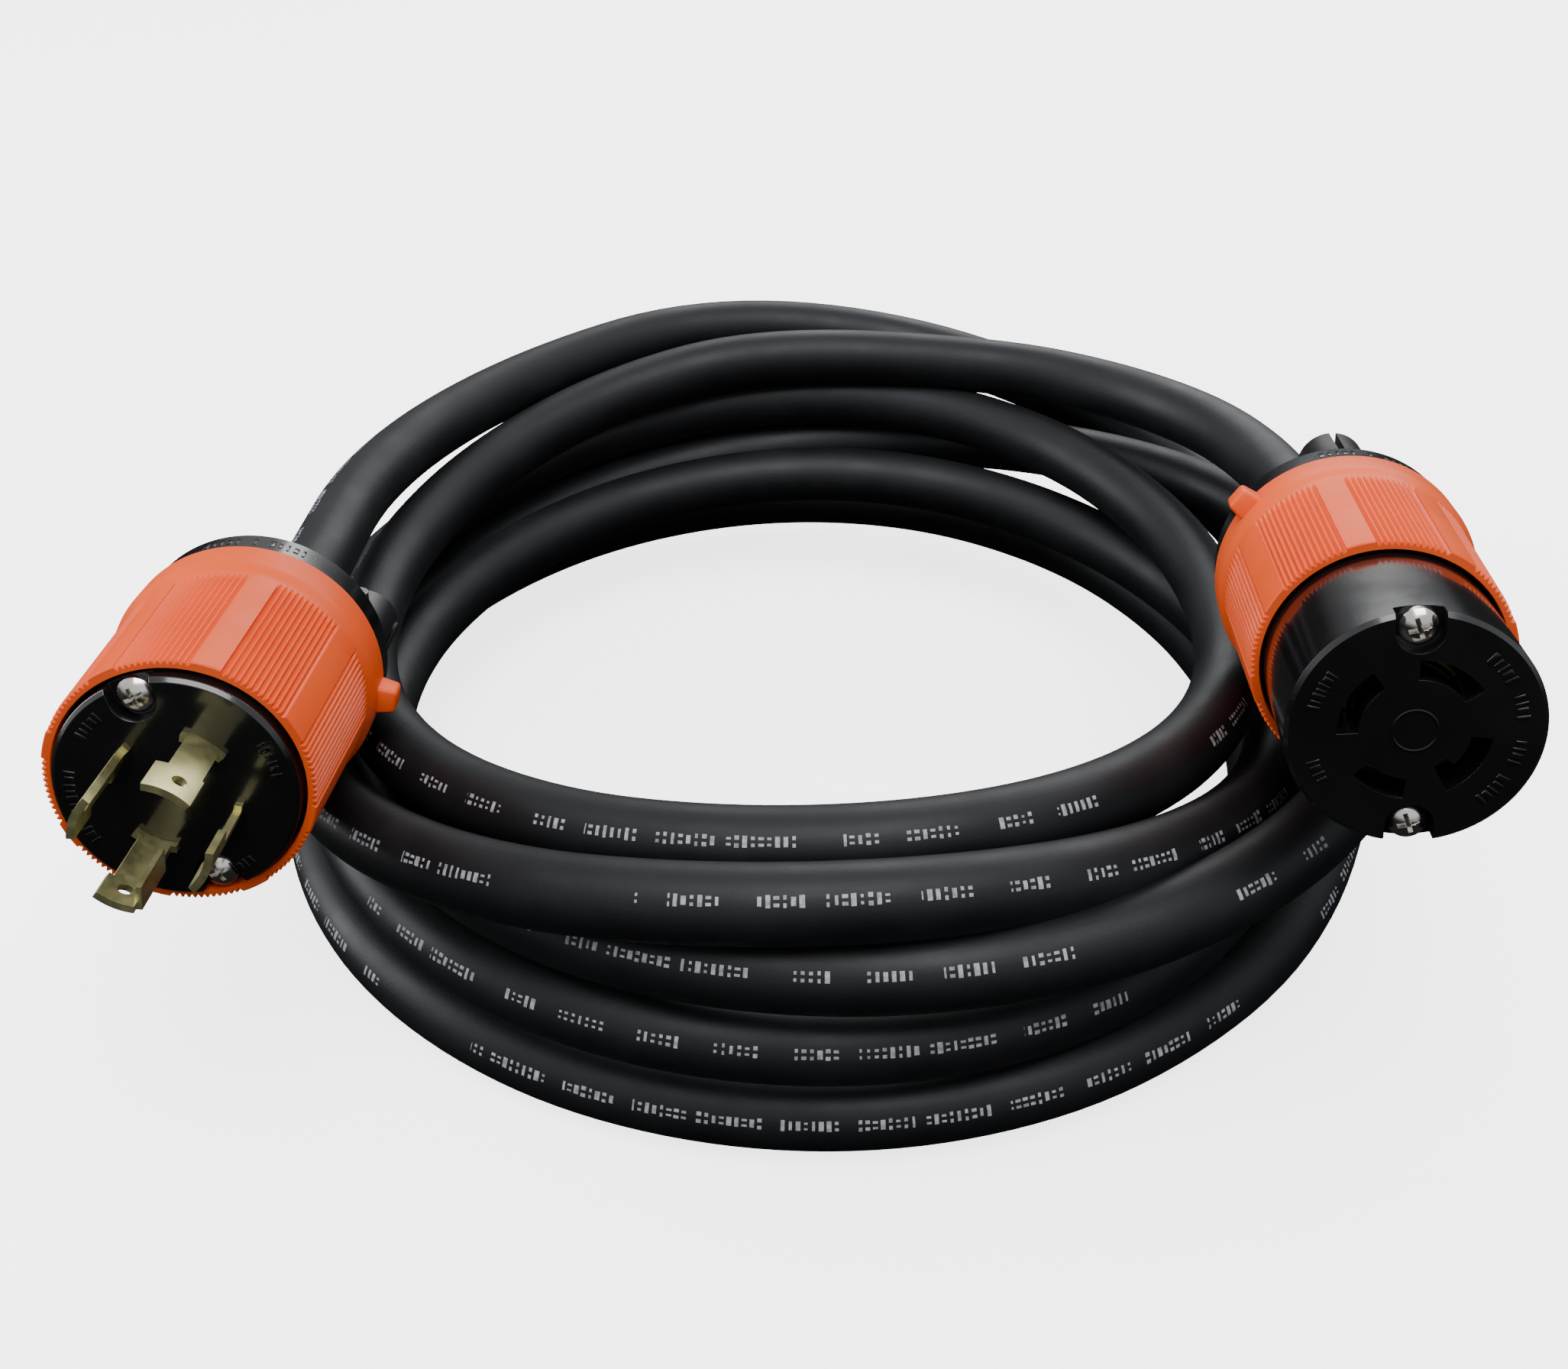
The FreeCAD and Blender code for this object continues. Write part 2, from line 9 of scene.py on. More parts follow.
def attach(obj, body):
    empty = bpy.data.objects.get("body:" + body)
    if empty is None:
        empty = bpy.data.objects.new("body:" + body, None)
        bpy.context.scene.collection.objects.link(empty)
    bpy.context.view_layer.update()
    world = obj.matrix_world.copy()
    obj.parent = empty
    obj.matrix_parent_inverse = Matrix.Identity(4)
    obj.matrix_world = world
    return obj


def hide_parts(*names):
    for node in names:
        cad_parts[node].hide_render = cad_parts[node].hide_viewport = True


# A coiled four-conductor rubber cable with a locking plug and a locking connector. Metres, in the
# frame of the CAD model: +Z is up, and the coil lies on the floor round the origin.
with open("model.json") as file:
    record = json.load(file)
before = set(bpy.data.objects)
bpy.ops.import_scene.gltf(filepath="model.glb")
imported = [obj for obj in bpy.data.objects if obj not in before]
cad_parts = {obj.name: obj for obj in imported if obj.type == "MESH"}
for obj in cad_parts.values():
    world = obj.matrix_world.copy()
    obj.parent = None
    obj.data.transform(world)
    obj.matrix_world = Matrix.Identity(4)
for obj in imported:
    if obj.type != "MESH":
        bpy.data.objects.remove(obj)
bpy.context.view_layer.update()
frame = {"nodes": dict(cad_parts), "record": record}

UP = Vector((0, 0, 1))
MM = 0.001

# ---- the cord's route ---------------------------------------------------------------------------
CABLE_D = 0.0183

# The free cord, from the plug round outside the coil and down to the floor. The second, third and
# fifth points stand a little off those of the CAD tube, so that the bend follows the real one and
# clears the turn beside it.
PLUG_LEAD = [
    (-0.141, 0.059, 0.076),
    (-0.105, 0.124, 0.075),
    (-0.042, 0.170, 0.077),
    (0.039, 0.171, 0.068),
    (0.113, 0.132, 0.051),
    (0.150, 0.062, 0.035),
    (0.150, -0.012, 0.021),
    (0.122, -0.074, 0.0115),
]
# The free cord from the top of the coil to the connector.
CONNECTOR_LEAD = [
    (0.0575, 0.136, 0.075),
    (0.0995, 0.112, 0.076),
    (0.127, 0.072, 0.080),
]
# The cord's points in and close behind each device, as depths behind its face.
PLUG_DEPTHS = (0.059, 0.096, 0.121)
CONNECTOR_DEPTHS = (0.147, 0.126, 0.092)

# Where each turn lies in the pile as it crosses the right, front, left and back of the coil, in cable
# diameters: out from a radius of COIL_CORE_R, and up from the floor. The turns go clockwise from
# above, and rise as they lie on one another.
COIL_CORE_R = 0.115
COIL_PLACES = [
    (1.75, 0.75), (1.0, 0.0), (2.0, 0.0), (2.0, 0.25),
    (0.5, 0.5), (1.0, 1.25), (1.5, 1.0), (1.5, 1.75),
    (2.0, 2.75), (1.0, 2.5), (0.75, 1.5), (0.25, 1.75),
    (0.5, 1.5), (0.75, 3.5), (2.0, 1.75), (1.5, 2.75),
    (-0.25, 2.5), (-0.25, 3.5), (1.0, 2.5), (1.5, 3.75),
    (1.25, 4.0),
]
# In quarter turns from the left: the first of those places, and where the coil begins and ends.
FIRST_QUARTER = 2
COIL_START = 2.65
COIL_END = 21.0
POINTS_PER_TURN = 16

# Points of the line in each span of the spline, and flat sides round the cord's tube.
LINE_POINTS = 10
TUBE_SIDES = 40


def device_frame(mount_name):
    """The matrix of a device's own frame: its face at z = 0, +Z out of the face, +X level."""
    mount = next(m for m in frame["record"]["mounts"] if m["name"] == mount_name)
    out = Vector(mount["axis"]).normalized()
    level = UP.cross(out).normalized()
    turn = Matrix((level, out.cross(level), out)).transposed().to_4x4()
    return Matrix.Translation(mount["pos_m"]) @ turn


PLUG_FRAME = device_frame("plug_blades")
CONNECTOR_FRAME = device_frame("connector_slots")


def behind_face(device, depths):
    """Points on a device's axis at depths behind its face."""
    return [device @ Vector((0, 0, -depth)) for depth in depths]


def blend_four(a, b, c, d, t):
    """A smooth curve from b to c that heads as a and d say."""
    square = 2 * a - 5 * b + 4 * c - d
    cube = 3 * b - a - 3 * c + d
    return 0.5 * (2 * b + (c - a) * t + square * t**2 + cube * t**3)


def on_coil(quarter):
    """The coil's control point after so many quarter turns, clockwise from the left."""
    i = math.floor(quarter)
    last = len(COIL_PLACES) - 1
    near = [COIL_PLACES[min(max(i + k - FIRST_QUARTER, 0), last)] for k in (-1, 0, 1, 2)]
    column, layer = (blend_four(*[place[k] for place in near], quarter - i) for k in (0, 1))
    # The spline passes inside its control points, so they stand out by that much.
    radius = (COIL_CORE_R + column * CABLE_D) / math.cos(math.pi / POINTS_PER_TURN)
    height = (max(layer, 0.0) + 0.5) * CABLE_D
    angle = math.pi - quarter * math.pi / 2
    return Vector((radius * math.cos(angle), radius * math.sin(angle), height))


def cord_route():
    """The control points of the whole cord, from inside the plug to inside the connector."""
    step = 4 / POINTS_PER_TURN
    count = int((COIL_END - COIL_START) / step) + 1
    coil = [on_coil(COIL_START + k * step) for k in range(count)]
    start = behind_face(PLUG_FRAME, PLUG_DEPTHS) + [Vector(p) for p in PLUG_LEAD]
    end = [Vector(p) for p in CONNECTOR_LEAD] + behind_face(CONNECTOR_FRAME, CONNECTOR_DEPTHS)
    return start + coil + end


def smooth_line(points):
    """Points along the NURBS spline of order 3 that has these control points."""
    curve = bpy.data.curves.new("route", "CURVE")
    curve.dimensions = "3D"
    spline = curve.splines.new("NURBS")
    spline.points.add(len(points) - 1)
    for point, place in zip(spline.points, points):
        point.co = (*place, 1)
    spline.order_u = 3
    spline.use_endpoint_u = True
    spline.resolution_u = LINE_POINTS
    holder = bpy.data.objects.new("route", curve)
    mesh = bpy.data.meshes.new_from_object(holder)
    line = [v.co.copy() for v in mesh.vertices]
    bpy.data.meshes.remove(mesh)
    bpy.data.objects.remove(holder)
    bpy.data.curves.remove(curve)
    return line


# ---- shared mesh helpers ------------------------------------------------------------------------
def link(name, mesh):
    """A new object with this mesh, in the scene."""
    piece = bpy.data.objects.new(name, mesh)
    bpy.context.scene.collection.objects.link(piece)
    return piece


def to_piece(build, name, matrix=None, sharp_deg=None):
    """Turns a bmesh into a piece, perhaps moved by a matrix and with its sharp edges marked."""
    mesh = bpy.data.meshes.new(name)
    build.to_mesh(mesh)
    build.free()
    if matrix is not None:
        mesh.transform(matrix)
    if sharp_deg is not None:
        mesh.set_sharp_from_angle(angle=math.radians(sharp_deg))
    return link(name, mesh)


def spoke(degrees):
    """The unit vector at an angle in the plane of a device's face."""
    return Vector((math.cos(math.radians(degrees)), math.sin(math.radians(degrees)), 0))


def standing_frame(origin, normal, along):
    """A frame at a point: its z along the normal and its y as near as can be to along."""
    z = Vector(normal).normalized()
    x = Vector(along).cross(z).normalized()
    return Matrix.Translation(origin) @ Matrix((x, z.cross(x), z)).transposed().to_4x4()


BLOCK_CORNERS = ((-1, -1), (1, -1), (1, 1), (-1, 1))
BLOCK_SEGMENTS = 3
BLOCK_SIDES = ((0, 1, 5, 4), (1, 2, 6, 5), (2, 3, 7, 6), (3, 0, 4, 7), (3, 2, 1, 0), (4, 5, 6, 7))


def block(build, place, size, taper, rounding):
    """Adds a block to a bmesh: its base at the origin of place, its top smaller by taper, edges rounded."""
    width, depth, height = size
    corners = []
    for z, share in ((0.0, 1.0), (height, taper)):
        for x, y in BLOCK_CORNERS:
            corner = Vector((x * width / 2 * share, y * depth / 2 * share, z))
            corners.append(build.verts.new(place @ corner))
    faces = [build.faces.new([corners[k] for k in side]) for side in BLOCK_SIDES]
    edges = list(dict.fromkeys(edge for face in faces for edge in face.edges))
    bmesh.ops.bevel(build, geom=edges, offset=rounding, segments=BLOCK_SEGMENTS, profile=0.5, affect="EDGES")


# Edges of turned shapes that turn by more than this stay sharp.
TURNED_SHARP_DEG = 26


def turned(name, angles, rows, matrix):
    """A closed skin through rows of points. Each row is a function from degrees to (radius, z)."""
    build = bmesh.new()
    grid = []
    for row in rows:
        points = []
        for degrees in angles:
            radius, z = row(degrees)
            a = math.radians(degrees)
            points.append(build.verts.new((radius * math.cos(a), radius * math.sin(a), z)))
        grid.append(points)
    count = len(angles)
    for inner, outer in zip(grid, grid[1:] + grid[:1]):
        for k in range(count):
            m = (k + 1) % count
            build.faces.new((inner[k], inner[m], outer[m], outer[k])).smooth = True
    bmesh.ops.recalc_face_normals(build, faces=build.faces)
    return to_piece(build, name, matrix, TURNED_SHARP_DEG)


def cord_tube(line, radius):
    """A round tube along the line. Its UV map is in metres: along the cord, and round it from the top."""
    build = bmesh.new()
    uv = build.loops.layers.uv.new("metres")
    rings = []
    travelled = [0.0]
    for a, b in zip(line, line[1:]):
        travelled.append(travelled[-1] + (b - a).length)
    side = None
    for i, place in enumerate(line):
        ahead = (line[min(i + 1, len(line) - 1)] - line[max(i - 1, 0)]).normalized()
        side = (ahead.cross(UP) if side is None else side - ahead * side.dot(ahead)).normalized()
        top = side.cross(ahead)
        ring = []
        for k in range(TUBE_SIDES):
            angle = 2 * math.pi * k / TUBE_SIDES
            ring.append(build.verts.new(place + (top * math.cos(angle) - side * math.sin(angle)) * radius))
        rings.append(ring)
    around = 2 * math.pi * radius / TUBE_SIDES
    for i in range(len(rings) - 1):
        for k in range(TUBE_SIDES):
            m = (k + 1) % TUBE_SIDES
            face = build.faces.new((rings[i][k], rings[i][m], rings[i + 1][m], rings[i + 1][k]))
            places = ((i, k), (i, k + 1), (i + 1, k + 1), (i + 1, k))
            for loop, (row, column) in zip(face.loops, places):
                loop[uv].uv = (travelled[row], column * around)
            face.smooth = True
    build.faces.new(reversed(rings[0]))
    build.faces.new(rings[-1])
    bmesh.ops.recalc_face_normals(build, faces=build.faces)
    return to_piece(build, "power_cord")


# ---- materials ----------------------------------------------------------------------------------
class Nodes:
    """A material's node tree, with short ways to add and link nodes."""

    def __init__(self, name):
        self.material = bpy.data.materials.new(name)
        self.material.use_nodes = True
        self.tree = self.material.node_tree
        self.shader = self.tree.nodes["Principled BSDF"]

    def add(self, kind, inputs=None, **settings):
        """A new node with these settings and inputs."""
        node = self.tree.nodes.new(kind)
        for key, value in settings.items():
            setattr(node, key, value)
        for key, value in (inputs or {}).items():
            self.put(node.inputs[key], value)
        return node

    def put(self, socket, value):
        """Links another node's output to the socket, or sets a plain value."""
        if isinstance(value, bpy.types.NodeSocket):
            self.tree.links.new(value, socket)
        elif isinstance(value, bpy.types.Node):
            self.tree.links.new(value.outputs[0], socket)
        else:
            socket.default_value = value

    def math(self, operation, a, b=0.0):
        """The result of a sum on one or two values."""
        return self.add("ShaderNodeMath", {0: a, 1: b}, operation=operation)

    def noise(self, scale, detail, where=None, stretch=None):
        """Noise over object coordinates, or over another vector, perhaps with its axes scaled first."""
        vector = where or self.add("ShaderNodeTexCoord").outputs["Object"]
        if stretch:
            vector = self.add("ShaderNodeMapping", {"Vector": vector, "Scale": stretch}).outputs[0]
        inputs = {"Vector": vector, "Scale": scale, "Detail": detail}
        return self.add("ShaderNodeTexNoise", inputs).outputs["Fac"]

    def spread(self, value, low, high, out_low=0.0, out_high=1.0):
        """Maps low..high to out_low..out_high, held at both ends."""
        keys = ("Value", "From Min", "From Max", "To Min", "To Max")
        inputs = dict(zip(keys, (value, low, high, out_low, out_high)))
        return self.add("ShaderNodeMapRange", inputs).outputs[0]

    def mix(self, amount, a, b):
        """The colour a where amount is 0, and b where it is 1."""
        node = self.add("ShaderNodeMix", data_type="RGBA")
        self.put(node.inputs["Factor"], amount)
        for key, value in (("A", a), ("B", b)):
            self.put(next(i for i in node.inputs if i.name == key and i.type == "RGBA"), value)
        return next(o for o in node.outputs if o.type == "RGBA")

    def bump(self, height, distance, strength):
        """Gives the surface a fine relief."""
        inputs = {"Height": height, "Distance": distance, "Strength": strength}
        self.put(self.shader.inputs["Normal"], self.add("ShaderNodeBump", inputs))

    def finish(self, **values):
        """Sets or links the shader's own inputs. An underscore in a name stands for a space."""
        for key, value in values.items():
            self.put(self.shader.inputs[key.replace("_", " ")], value)
        return self.material


def plastic(name, dark, light, rough, coat=0.0, shine=0.5):
    """Moulded plastic: faint colour drift, worn gloss, a fine moulded grain and perhaps a gloss coat."""
    n = Nodes(name)
    drift = n.spread(n.noise(scale=28, detail=4), low=0.3, high=0.7)
    wear = n.spread(n.noise(scale=90, detail=5), low=0.35, high=0.7, out_low=rough, out_high=rough + 0.1)
    n.bump(n.noise(scale=2600, detail=2), distance=0.02 * MM, strength=0.5)
    n.finish(Specular_IOR_Level=shine, Coat_Weight=coat, Coat_Roughness=0.08)
    return n.finish(Base_Color=n.mix(drift, (*dark, 1), (*light, 1)), Roughness=wear)


# Drawn scratches are fine up and down and long on the level.
SCRATCH_STRETCH = (30, 30, 900)


def metal(name, dark, light, rough):
    """Stamped or turned metal with fine drawn scratches and faint tarnish."""
    n = Nodes(name)
    tarnish = n.spread(n.noise(scale=140, detail=6), low=0.35, high=0.7)
    n.bump(n.noise(scale=6, detail=3, stretch=SCRATCH_STRETCH), distance=0.03 * MM, strength=0.35)
    wear = n.spread(n.noise(scale=420, detail=4), low=0.3, high=0.75, out_low=rough, out_high=rough + 0.14)
    n.finish(Metallic=1.0)
    return n.finish(Base_Color=n.mix(tarnish, (*light, 1), (*dark, 1)), Roughness=wear)


def rubber(name, dark, light, rough):
    """Soft moulded rubber."""
    n = Nodes(name)
    drift = n.spread(n.noise(scale=60, detail=5), low=0.35, high=0.7)
    n.bump(n.noise(scale=1500, detail=4), distance=0.08 * MM, strength=0.6)
    return n.finish(Base_Color=n.mix(drift, (*dark, 1), (*light, 1)), Roughness=rough)


# The printed line of plain strokes along the cable: how far round from the cable's top it runs, and
# the lengths from stroke to stroke, from group to group and from run to run.
LEGEND_ROUND = 5.6 * MM
LEGEND_PITCH = 1.7 * MM
LEGEND_GROUP = 17.0 * MM
LEGEND_RUN = 230.0 * MM
# A stroke's half width, as a share of the pitch, and its half height: least and most.
STROKE_HALF_WIDTH = (0.16, 0.36)
STROKE_HALF_HEIGHT = (0.9 * MM, 1.4 * MM)
# Strokes that aren't solid are open in the middle by this half height.
SOLID_SHARE = 0.45
OPEN_HALF_HEIGHT = 0.4 * MM
# How much of a group's and of a run's length is printed.
GROUP_FILL = (0.45, 0.92)
RUN_FILL = 0.86


def legend_ink(n, along, around):
    """Groups of short strokes of uneven width and height, with gaps between them. They spell nothing."""

    def chance(value, seed, least, most):
        """A number between least and most that is the same over each whole step of the value."""
        cell = n.add("ShaderNodeCombineXYZ", {"X": n.math("FLOOR", value), "Y": seed})
        draw = n.add("ShaderNodeTexWhiteNoise", {"Vector": cell}, noise_dimensions="2D").outputs["Value"]
        return n.spread(draw, 0.0, 1.0, least, most)

    def inside(value, reach):
        return n.math("LESS_THAN", n.math("ABSOLUTE", value), reach)

    def both(a, b):
        return n.math("MULTIPLY", a, b)

    stroke = n.math("DIVIDE", along, LEGEND_PITCH)
    group = n.math("DIVIDE", along, LEGEND_GROUP)
    run = n.math("DIVIDE", along, LEGEND_RUN)
    off_middle = n.math("SUBTRACT", n.math("FRACT", stroke), 0.5)
    off_line = n.math("SUBTRACT", around, LEGEND_ROUND)
    wide = inside(off_middle, chance(stroke, 1.0, *STROKE_HALF_WIDTH))
    tall = inside(off_line, chance(stroke, 2.0, *STROKE_HALF_HEIGHT))
    not_solid = n.math("GREATER_THAN", chance(stroke, 3.0, 0.0, 1.0), SOLID_SHARE)
    opening = both(not_solid, inside(off_line, OPEN_HALF_HEIGHT))
    ink = both(both(wide, tall), n.math("SUBTRACT", 1.0, opening))
    ink = both(ink, n.math("LESS_THAN", n.math("FRACT", group), chance(group, 4.0, *GROUP_FILL)))
    return both(ink, n.math("LESS_THAN", n.math("FRACT", run), RUN_FILL))


def cable_jacket():
    """Black rubber jacket with a satin skin, faint scuffs and a pale printed line of strokes along it."""
    n = Nodes("cable_jacket")
    uv = n.add("ShaderNodeUVMap", uv_map="metres").outputs["UV"]
    parts = n.add("ShaderNodeSeparateXYZ", {"Vector": uv})
    patchy = n.spread(n.noise(scale=700, detail=3), low=0.35, high=0.6, out_low=0.5, out_high=1.0)
    ink = n.math("MULTIPLY", legend_ink(n, parts.outputs["X"], parts.outputs["Y"]), patchy)
    scuffs = n.spread(n.noise(scale=45, detail=6), low=0.45, high=0.75)
    base = n.mix(scuffs, (0.0050, 0.0053, 0.0060, 1), (0.0095, 0.0100, 0.0112, 1))
    streak = n.noise(scale=1.0, detail=4, where=uv, stretch=(14, 900, 1))
    grain = n.noise(scale=1100, detail=4)
    skin = n.math("ADD", n.math("MULTIPLY", grain, 0.6), n.math("MULTIPLY", streak, 0.4))
    n.bump(skin, distance=0.12 * MM, strength=0.5)
    wear = n.spread(n.noise(scale=60, detail=5), low=0.3, high=0.7, out_low=0.46, out_high=0.56)
    n.finish(Specular_IOR_Level=0.34, Specular_Tint=(0.90, 0.95, 1.0, 1))
    return n.finish(Base_Color=n.mix(ink, base, (0.42, 0.43, 0.46, 1)), Roughness=wear)


# What is in each of the record's material slots. A name, a darker and a lighter colour and a
# roughness make most of them.
MATERIALS = {
    "cable_rubber": cable_jacket(),
    "face_black": plastic("face_nylon", (0.0035, 0.0035, 0.004), (0.006, 0.006, 0.0065), 0.13, coat=0.6),
    "cap_black": plastic("cap_nylon", (0.0035, 0.0035, 0.004), (0.006, 0.006, 0.0065), 0.15, coat=0.4),
    "clamp_black": plastic("clamp_nylon", (0.008, 0.008, 0.009), (0.014, 0.014, 0.015), 0.26),
    "block_grey": plastic("block_thermoset", (0.11, 0.11, 0.115), (0.17, 0.17, 0.175), 0.5),
    "shell_orange": plastic("shell_nylon", (0.78, 0.085, 0.014), (0.86, 0.105, 0.02), 0.36, shine=0.15),
    "seal_rubber": rubber("seal_rubber", (0.02, 0.02, 0.022), (0.04, 0.04, 0.043), 0.7),
    "blade_brass": metal("blade_brass", (0.52, 0.48, 0.22), (0.68, 0.64, 0.33), 0.36),
    # The contacts' brass is darkened far below brass's own colour. This is painted shade for the deep slots
    # that the contacts sit in.
    "contact_brass": metal("contact_brass", (0.09, 0.06, 0.02), (0.15, 0.10, 0.04), 0.45),
    "face_screws": metal("screw_nickel", (0.62, 0.57, 0.50), (0.82, 0.79, 0.74), 0.12),
    "clamp_screws": metal("clamp_nickel", (0.58, 0.54, 0.48), (0.78, 0.75, 0.70), 0.16),
    "plated_terminals": metal("terminal_nickel", (0.60, 0.56, 0.50), (0.80, 0.77, 0.72), 0.18),
    "wire_green": plastic("insulation_green", (0.012, 0.16, 0.04), (0.02, 0.24, 0.06), 0.35),
    "wire_black": plastic("insulation_black", (0.01, 0.01, 0.011), (0.018, 0.018, 0.02), 0.35),
    "wire_white": plastic("insulation_white", (0.68, 0.68, 0.66), (0.78, 0.78, 0.76), 0.35),
    "wire_red": plastic("insulation_red", (0.42, 0.015, 0.015), (0.55, 0.025, 0.022), 0.35),
}
SLOT_OF_NODE = {part["node"]: part["material_slot"] for part in frame["record"]["subparts"]}
NODES_OF_BODY = frame["record"]["behaviour"]["bodies"]
BODY_OF_NODE = {node: body for body, nodes in NODES_OF_BODY.items() for node in nodes}


def dress(piece, node):
    """Gives a piece the material slot of a CAD node."""
    slot = SLOT_OF_NODE[node]
    piece.data.materials.clear()
    piece.data.materials.append(MATERIALS[slot])


def go_with(piece, node):
    """Gives a piece the body and the material slot of a CAD node."""
    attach(piece, BODY_OF_NODE[node])
    dress(piece, node)


def stand_in(piece, *nodes):
    """The piece takes the place of these CAD nodes, and the body and material slot of the first."""
    go_with(piece, nodes[0])
    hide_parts(*nodes)


# ---- pieces made from their CAD shape, with the edges rounded over ------------------------------
# Points this close are joined, faces this near to level with each other are made one, and edges
# that turn by more than the last angle are rounded over.
WELD = 0.002 * MM
FLAT_DEG = 0.6
SHARP_DEG = 28
ROUND_SEGMENTS = 3
# How far the sharp edges of each kind of piece are rounded over.
DEVICE_ROUNDS = {
    "nose": 0.25 * MM,
    "rear_cap": 0.5 * MM,
    "clamp_jaw_moving": 0.7 * MM,
    "clamp_jaw_fixed": 0.7 * MM,
    "clamp_screws": 0.15 * MM,
    "assembly_screws": 0.12 * MM,
}
BLADE_ROUND = 0.18 * MM


def with_soft_edges(node, width):
    """A copy of a CAD node's shape whose sharp edges are rounded over by a width."""
    build = bmesh.new()
    build.from_mesh(frame["nodes"][node].data)
    bmesh.ops.remove_doubles(build, verts=build.verts, dist=WELD)
    bmesh.ops.dissolve_limit(build, angle_limit=math.radians(FLAT_DEG), verts=build.verts, edges=build.edges)
    mesh = bpy.data.meshes.new(node + "_finished")
    build.to_mesh(mesh)
    build.free()
    if "custom_normal" in mesh.attributes:
        mesh.attributes.remove(mesh.attributes["custom_normal"])
    mesh.shade_smooth()
    mesh.set_sharp_from_angle(angle=math.radians(SHARP_DEG))
    piece = link(node + "_finished", mesh)
    bevel = piece.modifiers.new("round_over", "BEVEL")
    bevel.width = width
    bevel.segments = ROUND_SEGMENTS
    bevel.limit_method = "ANGLE"
    bevel.angle_limit = math.radians(SHARP_DEG)
    bevel.use_clamp_overlap = True
    bevel.harden_normals = True
    stand_in(piece, node)


# ---- the ribbed housing -------------------------------------------------------------------------
SHELL_FRONT_R = 28.5 * MM
GRIP_REAR_R = 29.8 * MM
SHELL_REAR_R = 31.0 * MM
SHELL_LENGTH = 60.0 * MM
GRIP_LENGTH = 46.5 * MM
COLLAR_START = 50.5 * MM
WALL = 2.2 * MM
BORE_R = 26.3 * MM
EDGE = 0.5 * MM
RIM_ROUND = 0.3 * MM
# The bore is a little wider at its rim, and widens again behind this depth.
BORE_RIM = 0.2 * MM
BORE_DRAFT = 0.1 * MM
DRAFT_DEPTH = 8.0 * MM

SECTOR_DEG = 45.0
PAD_DEG = 12.5
PAD_STEPS = 6
RIBS = 12
RIB_DEPTH = 0.85 * MM
CREST_DROP = 0.15 * MM
RIB_FADE = 3.6 * MM
FADE_STEPS = 8
GRIP_SHARES = (0.25, 0.5, 0.75)
SLOPE_SHARES = (0.3, 0.6, 0.88)
# A rib from crest to crest: how far along it and how deep, as shares.
RIB_SHAPE = [(0.0, 0.0), (0.12, 0.06), (0.3, 0.6), (0.5, 1.0), (0.7, 0.6), (0.88, 0.06)]
# Beside a pad the ribs end in a small step: how far along a rib and how deep, as shares.
STEP_ALONG = 0.04
STEP_DEEP = 0.35

LUG_WIDTH = 7.0 * MM
LUG_RISE = 4.4 * MM
LUG_LENGTH = 8.0 * MM
LUG_ROUND = 1.0 * MM
LUG_TAPER = 0.8

# How far each face stands out of its housing, and the angles of the middle of a pad and of the lug.
PLUG_PROUD = 3.0 * MM
PLUG_PAD_DEG = 25.5
PLUG_LUG_DEG = -12
CONNECTOR_PROUD = 36.0 * MM
CONNECTOR_PAD_DEG = 18.7
CONNECTOR_LUG_DEG = 146


def shell_angles(phase):
    """(degrees, depth share) all round: in each sector a smooth pad, of depth None, and a run of ribs."""
    found = []
    pitch = (SECTOR_DEG - PAD_DEG) / RIBS
    for sector in range(int(360 / SECTOR_DEG)):
        start = phase + sector * SECTOR_DEG - PAD_DEG / 2
        found += [(start + PAD_DEG * k / PAD_STEPS, None) for k in range(PAD_STEPS + 1)]
        for rib in range(RIBS):
            first = start + PAD_DEG + rib * pitch
            shape = RIB_SHAPE if rib else [(STEP_ALONG, STEP_DEEP)] + RIB_SHAPE[2:]
            found += [(first + pitch * along, deep) for along, deep in shape]
        found.append((start + SECTOR_DEG - STEP_ALONG * pitch, STEP_DEEP))
    return found


def add_lug(shell, matrix, proud, degrees):
    """Joins a small rounded lug to the rear of the collar."""
    outward = spoke(degrees)
    root = outward * (SHELL_REAR_R - WALL / 2) - Vector((0, 0, proud + SHELL_LENGTH - LUG_LENGTH / 2))
    build = bmesh.new()
    size = (LUG_WIDTH, LUG_LENGTH, LUG_RISE + WALL / 2)
    block(build, standing_frame(root, outward, (0, 0, 1)), size, LUG_TAPER, LUG_ROUND)
    for face in build.faces:
        face.smooth = True
    build.transform(matrix)
    build.from_mesh(shell.data)
    bmesh.ops.recalc_face_normals(build, faces=build.faces)
    build.to_mesh(shell.data)
    build.free()
    shell.data.set_sharp_from_angle(angle=math.radians(TURNED_SHARP_DEG))


